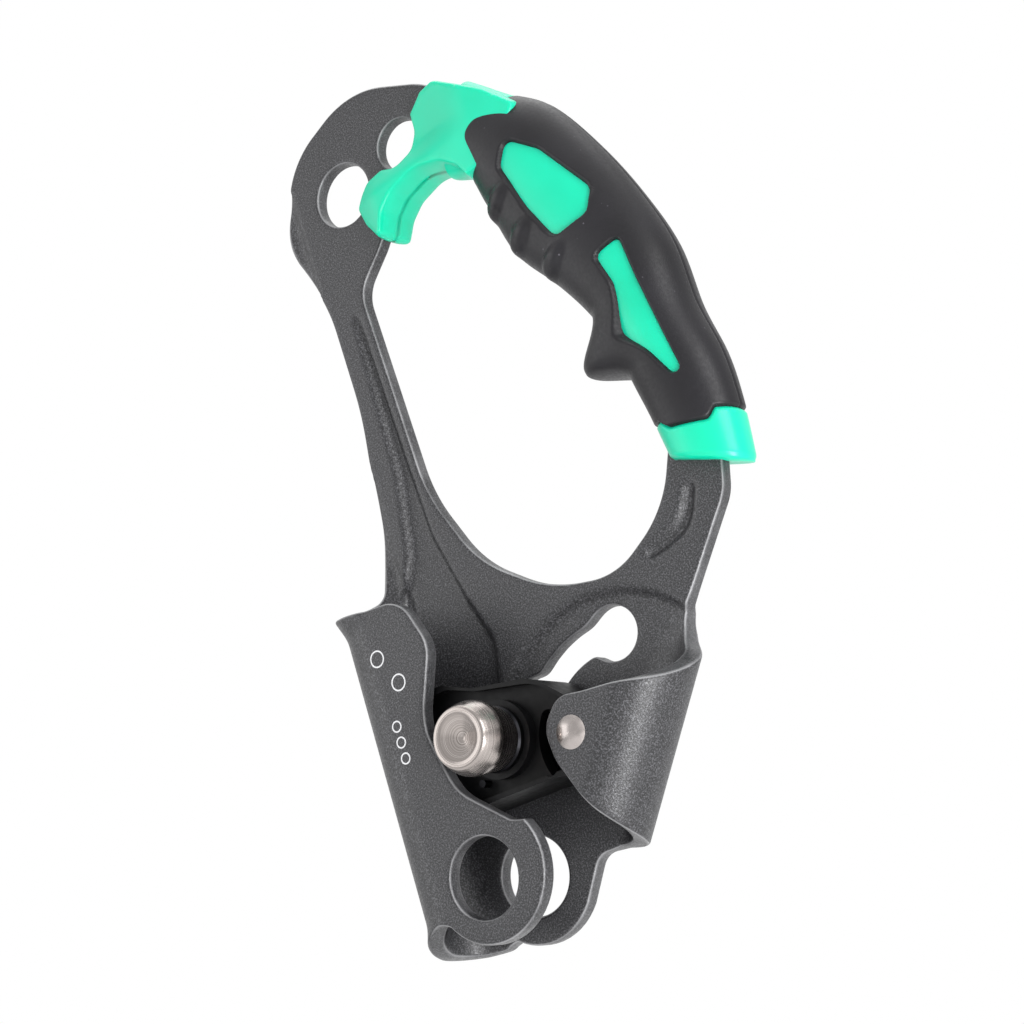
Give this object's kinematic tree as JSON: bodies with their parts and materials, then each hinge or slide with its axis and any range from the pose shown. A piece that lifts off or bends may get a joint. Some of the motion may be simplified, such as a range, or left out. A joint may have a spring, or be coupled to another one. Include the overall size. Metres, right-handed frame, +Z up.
{
  "type": "hand rope ascender",
  "caption": "Hand rope ascender: folded metal plate with rope channel and eyes, sprung toothed cam with a pull knob, and a two-colour soft grip handle.",
  "frame": {"origin": "on the axis of the lower eye, at the front face of the main plate", "axes": "+Z runs up the rope channel from the cam end to the head, +Y through the plate towards its back, +X towards the handle"},
  "size_m": [0.1032, 0.0384, 0.1976],
  "materials": {
    "frame_coating": "dark grey pebbled powder coating on pressed aluminium",
    "shell_plastic": "green gloss moulded plastic",
    "grip_rubber": "satin black moulded rubber",
    "cam_coating": "gloss black coated cast steel",
    "rivet_steel": "bright plated steel",
    "turned_steel": "turned stainless steel",
    "dark_bush": "black oxide steel",
    "bush_steel": "plain steel",
    "spring_wire": "spring steel wire"
  },
  "bodies": {
    "frame": {"frame_plate": "frame_coating", "rope_channel": "frame_coating", "cam_strap": "frame_coating", "handle_core_front": "shell_plastic", "handle_core_rear": "shell_plastic", "grip_front": "grip_rubber", "grip_rear": "grip_rubber", "handle_screws": "rivet_steel", "pivot_rivet": "rivet_steel", "pivot_spacer": "bush_steel", "front_thrust_washer": "bush_steel", "rear_thrust_washer": "bush_steel", "rivet_tail_washer": "bush_steel"},
    "cam": {"cam": "cam_coating", "cam_leg_pin": "cam_coating", "cam_torsion_spring": "spring_wire", "knob_guide_bush": "dark_bush", "knob_spring": "spring_wire"},
    "plunger": {"knob": "turned_steel", "knob_stem": "turned_steel", "spring_seat_washer": "bush_steel"}
  },
  "joints": [
    {"name": "cam_swing", "type": "hinge", "parent": "frame", "child": "cam", "pos_m": [0.0297, 0, 0.0196], "axis": [0, 1, 0], "range_deg": [0, 88], "stiffness_Nm_per_rad": 0.02, "springref_deg": -34.38},
    {"name": "knob_pull", "type": "slide", "parent": "cam", "child": "plunger", "axis": [0, -1, 0], "range_m": [0, 0.0045], "stiffness_N_per_m": 900, "springref_m": -0.003, "deforming": ["knob_spring"]}
  ]
}
